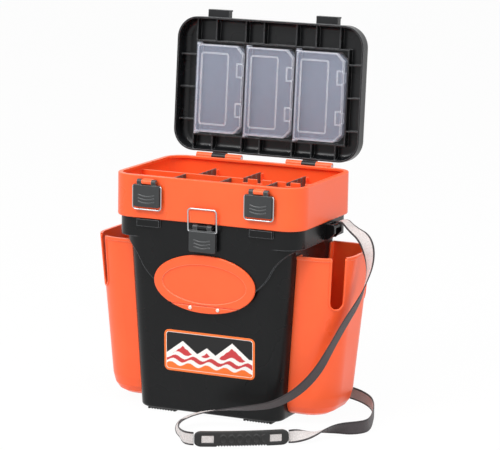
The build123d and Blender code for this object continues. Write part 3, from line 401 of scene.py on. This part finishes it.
# Bars between the clear cases: a black rib of the lid stands in each gap, a little below the covers,
# so that the gaps look black; the bars stand in for the shade in those gaps. They are laid out on the shut
# lid and turned open with it.
def squared_oval(count, half_a, half_b, power_a, power_b):
    """A closed oval of count points that is squarer the lower its powers are."""
    angle = np.linspace(0, 2 * math.pi, count, endpoint=False)
    a = np.sign(np.cos(angle)) * np.abs(np.cos(angle)) ** power_a
    b = np.sign(np.sin(angle)) * np.abs(np.sin(angle)) ** power_b
    return np.stack([half_a * a, half_b * b], 1)


hinge_y = 0.1115
hinge_z = 0.3660
lid_open = math.radians(94.0)
case_pitch = 0.0845
case_half_w = 0.040
case_half_l = 0.0685
case_mid_y = 0.0065
bar_half_t = 0.0008
bar_offset = 0.0028
bar_low = 0.3700
bar_high = 0.3915
bar_square = 0.3
bar_sides = 24
bar_rows = 30


def lid_bar(x):
    """A straight bar with rounded edges along the shut lid, turned by the lid's open angle."""
    along = np.linspace(case_mid_y - case_half_l, case_mid_y + case_half_l, bar_rows)
    path = np.stack([np.full(bar_rows, x), along, np.full(bar_rows, (bar_low + bar_high) / 2)], 1)
    section = squared_oval(bar_sides, (bar_high - bar_low) / 2, bar_half_t, bar_square, bar_square)
    shut = carry(path, np.tile([0.0, 0.0, 1.0], (bar_rows, 1)), section)
    y = shut[..., 1] - hinge_y
    z = shut[..., 2] - hinge_z
    open_y = hinge_y + y * math.cos(lid_open) + z * math.sin(lid_open)
    open_z = hinge_z - y * math.sin(lid_open) + z * math.cos(lid_open)
    return np.stack([shut[..., 0], open_y, open_z], -1)


bar_places = [i * case_pitch + case_half_w + bar_offset for i in (-1, 0)]
# These black bars are painted shade for the gaps between the cases.
case_gap_shade_bars = ring_piece("case_gap_shade_bars", [lid_bar(x) for x in bar_places], lid_plastic)
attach(case_gap_shade_bars, "lid")


# Front label: a glossy vinyl sticker on the tub's leaning front, printed with a generic motif of
# snowy peaks over waves. Its edge is turned down onto the plastic.
label_mid = (0.0045, 0.099)
label_size = (0.150, 0.064)
label_corner = 0.008
label_proud = 0.00025
label_border = 0.0032
label_keyline = 0.0008
label_cells = (250, 108)
label_peaks = ((-0.044, 0.016, 0.75), (0.038, 0.021, 0.80), (-0.004, 0.009, 0.70))
snow_deep = 0.0075
jag_high = 0.0022
jag_pitch = 0.008
wave_tones = ("white", "red", "white", "orange")
wave_top = -0.004
wave_step = 0.0055
wave_high = 0.0028
wave_long = 0.030
wave_shift = 0.8
front_half_foot = 0.085
front_half_step = 0.096
front_foot_z = 0.004
front_step_z = 0.271


def label_print(u, v):
    """Colours of the label at u, v metres from its middle: a border, three peaks and waves below them."""
    ink = {"orange": "F4742A", "black": "151516", "white": "F2F0EC", "red": "C83A3E"}
    tones = {name: np.array(linear(value)) for name, value in ink.items()}
    half_u, half_v = label_size[0] / 2, label_size[1] / 2
    over = np.stack([np.abs(u) - (half_u - label_corner), np.abs(v) - (half_v - label_corner)])
    inside = label_corner - np.hypot(*np.maximum(over, 0)) - np.minimum(np.maximum(*over), 0)
    colours = np.broadcast_to(tones["black"], (*u.shape, 4)).copy()
    jag = jag_high * np.abs(((u / jag_pitch) % 1.0) - 0.5)
    for peak_u, peak_v, slope in label_peaks:
        under = peak_v - slope * np.abs(u - peak_u) - v
        colours[under > 0] = tones["white"]
        colours[under > snow_deep + jag] = tones["red"]
    for number, tone in enumerate(wave_tones):
        swing = np.sin(2 * math.pi * u / wave_long + wave_shift * number)
        colours[v < wave_top - wave_step * number + wave_high * swing] = tones[tone]
    colours[inside < label_border + label_keyline] = tones["white"]
    colours[inside < label_border] = tones["orange"]
    return colours


def printed_vinyl(name):
    """Glossy vinyl with its print in a colour attribute."""
    rough = 0.3
    gloss = 0.35
    material, tree = new_material(name)
    ink = add(tree, "Attribute", {}, attribute_name="print")
    shader = add(tree, "BsdfPrincipled", {"Base Color": ink.outputs["Color"], "Roughness": rough,
                                          "Specular IOR Level": gloss})
    add(tree, "OutputMaterial", {"Surface": shader.outputs[0]})
    return material


u_steps, v_steps = (np.linspace(-1, 1, count) for count in label_cells)
v, u = np.meshgrid(v_steps, u_steps, indexing="ij")
v = v * label_size[1] / 2
past_corner = np.maximum(np.abs(v) - (label_size[1] / 2 - label_corner), 0)
u = u * (label_size[0] / 2 - label_corner + np.sqrt(label_corner**2 - past_corner**2))
proud = np.full(u.shape, label_proud)
proud[[0, -1], :] = 0
proud[:, [0, -1]] = 0
label_z = label_mid[1] + v
rise = (label_z - front_foot_z) / (front_step_z - front_foot_z)
label_y = -(front_half_foot + rise * (front_half_step - front_half_foot)) - proud
label_points = np.stack([label_mid[0] + u, label_y, label_z], -1).reshape(-1, 3)
rows, columns = u.shape
i, j = np.meshgrid(np.arange(rows - 1), np.arange(columns - 1), indexing="ij")
first = (i * columns + j).ravel()
label_faces = np.stack([first, first + 1, first + columns + 1, first + columns], -1)
label_mesh = bpy.data.meshes.new("front_label")
label_mesh.from_pydata(label_points.tolist(), [], label_faces.tolist())
label_colours = label_mesh.color_attributes.new("print", "FLOAT_COLOR", "POINT")
label_colours.data.foreach_set("color", label_print(u, v).ravel())
label_mesh.materials.append(printed_vinyl("printed_vinyl"))
front_label = bpy.data.objects.new("front_label", label_mesh)
scene.collection.objects.link(front_label)
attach(front_label, "tub")


# Carrying strap: 20 mm polyester webbing, woven light grey on one face and charcoal on the other,
# with charcoal edges. It runs from the right lug to the shoulder pad and on behind to the left lug.
def spline_points(points):
    """The smooth line of a NURBS spline of order 3 with these control points."""
    curve = bpy.data.curves.new("route", "CURVE")
    curve.dimensions = "3D"
    curve.resolution_u = 10
    spline = curve.splines.new("NURBS")
    spline.points.add(len(points) - 1)
    spline.points.foreach_set("co", np.column_stack([points, np.ones(len(points))]).ravel())
    spline.order_u = 3
    spline.use_endpoint_u = True
    carrier = bpy.data.objects.new("route", curve)
    mesh = bpy.data.meshes.new_from_object(carrier)
    line = np.zeros(len(mesh.vertices) * 3)
    mesh.vertices.foreach_get("co", line)
    bpy.data.objects.remove(carrier)
    bpy.data.curves.remove(curve)
    bpy.data.meshes.remove(mesh)
    return line.reshape(-1, 3)


strap_w = 0.020
strap_t = 0.0018
strap_sides = 32
strap_square_w = 0.5
strap_square_t = 0.35


def woven_webbing(name, light_hex, dark_hex, edge_hex):
    """Twill webbing: two differently coloured faces, dark selvedges and a diagonal rib of yarns, with
    painted shade in the rib's troughs and painted light on its crests.
    """
    # The real yarns are 0.5 mm apart, too fine to show here, so the rib is drawn at 2 mm
    rib_mm = 2.0
    rib_depth_mm = 0.12
    rib_strength = 0.6
    rib_dark, rib_light = 0.86, 1.06
    yarn_mm = 1.5
    yarn_low, yarn_high = 0.25, 0.75
    yarn_dark, yarn_light = 0.82, 1.12
    selvedge = 0.74
    selvedge_blur = 0.03
    face_blur = 0.2
    rough = 0.82
    gloss = 0.3
    fuzz = 0.25
    material, tree = new_material(name)
    marks = ("along", "across", "face")
    along, across, face = (add(tree, "Attribute", {}, attribute_name=mark).outputs["Fac"] for mark in marks)
    skew = add(tree, "Math", {0: across, 1: strap_w / 2, 2: along}, operation="MULTIPLY_ADD").outputs[0]
    phase = add(tree, "Math", {0: skew, 1: 2 * math.pi * 1000 / rib_mm}, operation="MULTIPLY").outputs[0]
    rib = add(tree, "Math", {0: phase}, operation="SINE").outputs[0]
    wide = add(tree, "Math", {0: across}, operation="ABSOLUTE").outputs[0]
    edge = add(tree, "MapRange", {0: wide, 1: selvedge - selvedge_blur,
                                  2: selvedge + selvedge_blur}).outputs[0]
    light_side = add(tree, "MapRange", {0: face, 1: -face_blur, 2: face_blur}).outputs[0]
    middle = add(tree, "Mix", {0: light_side, 6: linear(dark_hex), 7: linear(light_hex)},
                 data_type="RGBA").outputs[2]
    colour = add(tree, "Mix", {0: edge, 6: middle, 7: linear(edge_hex)}, data_type="RGBA").outputs[2]
    place = add(tree, "TexCoord", {}).outputs["Object"]
    yarn = add(tree, "TexNoise", {"Vector": place, "Scale": 1000 / yarn_mm, "Detail": 2.0}).outputs[0]
    shade = add(tree, "MapRange", {0: yarn, 1: yarn_low, 2: yarn_high, 3: yarn_dark,
                                   4: yarn_light}).outputs[0]
    # Painted shade and light: the colour is darker in the rib's troughs and lighter on its crests, times the
    # yarns' random tone.
    painted_rib_light = add(tree, "MapRange", {0: rib, 1: -1.0, 2: 1.0, 3: rib_dark, 4: rib_light}).outputs[0]
    depth = add(tree, "Math", {0: shade, 1: painted_rib_light}, operation="MULTIPLY").outputs[0]
    tone = add(tree, "VectorMath", {0: colour, 3: depth}, operation="SCALE").outputs[0]
    bump = add(tree, "Bump", {"Height": rib, "Distance": rib_depth_mm / 1000, "Strength": rib_strength})
    shader = add(tree, "BsdfPrincipled", {"Base Color": tone, "Roughness": rough,
                                          "Specular IOR Level": gloss, "Sheen Weight": fuzz,
                                          "Normal": bump.outputs[0]})
    add(tree, "OutputMaterial", {"Surface": shader.outputs[0]})
    return material


webbing = woven_webbing("polyester_webbing", light_hex="CFCAC8", dark_hex="453F41", edge_hex="373234")


def webbing_piece(name, path, across, half_w, half_t):
    """Webbing along a path, with attributes that say how far along, across and on which face a point is."""
    section = squared_oval(strap_sides, half_w, half_t, strap_square_w, strap_square_t)
    piece = ring_piece(name, carry(path, across, section), webbing)
    steps = np.linalg.norm(np.diff(path, axis=0), axis=1)
    along = np.concatenate([[0.0], np.cumsum(steps)])
    marks = {
        "along": np.repeat(along, strap_sides),
        "across": np.tile(section[:, 0] / half_w, len(path)),
        "face": np.tile(section[:, 1] / half_t, len(path)),
    }
    for mark, values in marks.items():
        attribute = piece.data.attributes.new(mark, "FLOAT", "POINT")
        attribute.data.foreach_set("value", values.astype(np.float32))
    return piece


lug_bar = (0.162, 0.018, 0.2963)
strap_routes = {
    "strap_front": [
        (lug_bar, (0, 1, 0)),
        ((0.173, 0.018, 0.305), (0.15, 1, 0.05)),
        ((0.188, 0.014, 0.292), (0.35, 0.9, 0.1)),
        ((0.215, 0.007, 0.279), (0.9, 0.4, 0.25)),
        ((0.229, -0.006, 0.248), (0.8, -0.45, 0.35)),
        ((0.226, -0.018, 0.214), (0.4, -0.85, 0.3)),
        ((0.218, -0.030, 0.187), (0.1, -0.9, 0.45)),
        ((0.207, -0.047, 0.162), (0, -0.85, 0.5)),
        ((0.193, -0.068, 0.125), (-0.05, -0.9, 0.4)),
        ((0.177, -0.078, 0.090), (-0.3, -0.85, 0.4)),
        ((0.150, -0.085, 0.058), (-0.25, -0.8, 0.6)),
        ((0.118, -0.100, 0.037), (0, -0.75, 0.65)),
        ((0.080, -0.108, 0.029), (0.1, -0.8, 0.55)),
        ((0.045, -0.115, 0.025), (0.2, -0.9, 0.3)),
        ((0.014, -0.127, 0.020), (0.6, -0.75, 0.15)),
        ((-0.001, -0.144, 0.016), (0.85, -0.42, 0.25)),
        ((-0.004, -0.165, 0.013), (0.85, 0.03, 0.45)),
        ((0.002, -0.190, 0.012), (0.35, 0.1, 0.9)),
        ((0.017, -0.217, 0.0116), (-0.2, -0.15, 0.95)),
        ((0.031, -0.237, 0.0118), (-0.1, -0.1, 1)),
        ((0.0435, -0.2455, 0.0116), (0, 0, 1)),
        ((0.0532, -0.2435, 0.0117), (0, 0, 1)),
    ],
    "strap_rear": [
        ((-lug_bar[0], lug_bar[1], lug_bar[2]), (0, 1, 0)),
        ((-0.171, 0.018, 0.304), (0, 1, 0)),
        ((-0.182, 0.020, 0.303), (0.2, 1, 0)),
        ((-0.191, 0.032, 0.294), (0.5, 0.8, 0.1)),
        ((-0.195, 0.058, 0.278), (0.6, 0.3, 0.6)),
        ((-0.195, 0.082, 0.254), (0.8, 0.3, 0.2)),
        ((-0.193, 0.092, 0.222), (0.9, 0.3, 0)),
        ((-0.188, 0.095, 0.178), (0.9, 0.4, 0)),
        ((-0.178, 0.101, 0.128), (0.9, 0.4, 0.2)),
        ((-0.160, 0.107, 0.080), (0.7, 0.4, 0.6)),
        ((-0.134, 0.116, 0.042), (0.4, 0.3, 1)),
        ((-0.096, 0.126, 0.020), (0.1, 0.2, 1)),
        ((-0.046, 0.134, 0.013), (0, 0.1, 1)),
        ((0.010, 0.139, 0.0118), (0, 0, 1)),
        ((0.066, 0.138, 0.0116), (0, 0, 1)),
        ((0.120, 0.130, 0.0118), (0, 0, 1)),
        ((0.165, 0.112, 0.0116), (0, 0, 1)),
        ((0.200, 0.080, 0.0117), (0, 0, 1)),
        ((0.222, 0.040, 0.0116), (0, 0, 1)),
        ((0.236, 0.000, 0.0118), (0, 0, 1)),
        ((0.247, -0.036, 0.0116), (0, 0, 1)),
        ((0.250, -0.062, 0.0117), (0, 0, 1)),
        ((0.236, -0.082, 0.0118), (0, 0, 1)),
        ((0.216, -0.092, 0.0116), (0.3, -0.4, 0.85)),
        ((0.201, -0.112, 0.0117), (0.75, -0.35, 0.5)),
        ((0.194, -0.136, 0.0116), (0.85, -0.4, -0.1)),
        ((0.184, -0.156, 0.0118), (0.5, -0.45, -0.7)),
        ((0.1705, -0.1675, 0.0117), (0, 0, -1)),
    ],
}
for name, route in strap_routes.items():
    line = spline_points(np.array([place for place, _ in route], float))
    ways = spline_points(np.array([way for _, way in route], float))
    piece = webbing_piece(f"{name}_webbing", line, ways, strap_w / 2, strap_t / 2)
    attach(piece, "tub")
    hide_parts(name)

# Shoulder pad: a moulded rubber sleeve on the strap that lies on its edge. It has a window near each
# end that shows the webbing, two crossing waves in the middle and teeth along its lower edge.
pad_ends = np.array([(0.054, -0.243), (0.170, -0.168)])
pad_sag = 0.005
pad_half_h = 0.0115
pad_half_t = 0.0035
pad_rows = 420
pad_sides = 72
pad_round_share = 0.075
pad_square_h = 0.55
pad_square_t = 0.45
pad_tip = 0.42
window_share = (0.075, 0.205)
window_half = 0.0062
window_deep = 0.0014
window_blur = 0.0006
share_blur = 0.005
wave_share = (0.26, 0.74)
wave_pitch = 0.024
wave_half = 0.0056
ridge_h = 0.0015
ridge_w = 0.0013
tooth_pitch = 0.0042
tooth_deep = 0.0022
tooth_share = (0.22, 0.78)
tooth_fade = 0.03
flat_band = (0.75, 0.95)
low_band = (0.6, 0.95)


def pad_line(count):
    """The bowed middle line of the pad: the chord plus a parabola to the outer side."""
    s = np.linspace(0, 1, count)
    chord = pad_ends[1] - pad_ends[0]
    outer = np.array([chord[1], -chord[0]]) / np.linalg.norm(chord)
    plan = pad_ends[0] + s[:, None] * chord + (4 * pad_sag * s * (1 - s))[:, None] * outer
    return np.column_stack([plan, np.full(count, pad_half_h)]), s


def soft_step(x, low, high):
    """0 below low, 1 above high and a smooth rise between."""
    t = np.clip((x - low) / (high - low), 0, 1)
    return t * t * (3 - 2 * t)


line, s = pad_line(pad_rows)
pad_length = np.linalg.norm(np.diff(line, axis=0), axis=1).sum()
oval_a, oval_b = squared_oval(pad_sides, 1.0, 1.0, pad_square_h, pad_square_t).T
near_end = np.minimum(s, 1 - s)
to_end = np.clip(near_end / pad_round_share, 0, 1)
swell = pad_tip + (1 - pad_tip) * np.sqrt(1 - (1 - to_end) ** 2)
height = (oval_a[None, :] * pad_half_h) * swell[:, None]
depth = (oval_b[None, :] * pad_half_t) * swell[:, None]
flat_part = soft_step(np.abs(oval_b), *flat_band)[None, :]
in_window = soft_step(near_end, window_share[0] - share_blur, window_share[0] + share_blur)
in_window *= 1 - soft_step(near_end, window_share[1] - share_blur, window_share[1] + share_blur)
across_window = 1 - soft_step(np.abs(height), window_half - window_blur, window_half + window_blur)
# The waves are bells across two sine lines of opposite sign
in_waves = soft_step(s, wave_share[0] - 2 * share_blur, wave_share[0] + 2 * share_blur)
in_waves *= 1 - soft_step(s, wave_share[1] - 2 * share_blur, wave_share[1] + 2 * share_blur)
wave = wave_half * np.sin(2 * math.pi * s * pad_length / wave_pitch)
ridges = sum(np.exp(-(((height - side * wave[:, None]) / ridge_w) ** 2)) for side in (1, -1))
relief = ridge_h * in_waves[:, None] * np.minimum(ridges, 1.0)
relief = relief - window_deep * in_window[:, None] * across_window
depth = depth + np.sign(oval_b)[None, :] * flat_part * relief
# The teeth are a triangle wave that lifts the lower edge
tooth = np.abs(2 * ((s * pad_length / tooth_pitch) % 1.0) - 1)
in_teeth = soft_step(s, tooth_share[0], tooth_share[0] + tooth_fade)
in_teeth *= 1 - soft_step(s, tooth_share[1] - tooth_fade, tooth_share[1])
low_edge = soft_step(-oval_a, *low_band)[None, :]
height = height + tooth_deep * (tooth * in_teeth)[:, None] * low_edge
pad_points = carry(line, np.tile([0.0, 0.0, 1.0], (pad_rows, 1)), np.stack([height, depth], -1))
shoulder_pad = ring_piece("shoulder_pad_sleeve", pad_points, rubber)
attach(shoulder_pad, "tub")
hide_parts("shoulder_pad")
core_lap = 0.0008
core_sunk = 0.0010
core_half_w = window_half + core_lap
core_half_t = pad_half_t - core_sunk
core_step = 8
core_line = line[core_step:-core_step:core_step]
core_up = np.tile([0.0, 0.0, 1.0], (len(core_line), 1))
pad_core = webbing_piece("pad_window_webbing", core_line, core_up, core_half_w, core_half_t)
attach(pad_core, "tub")
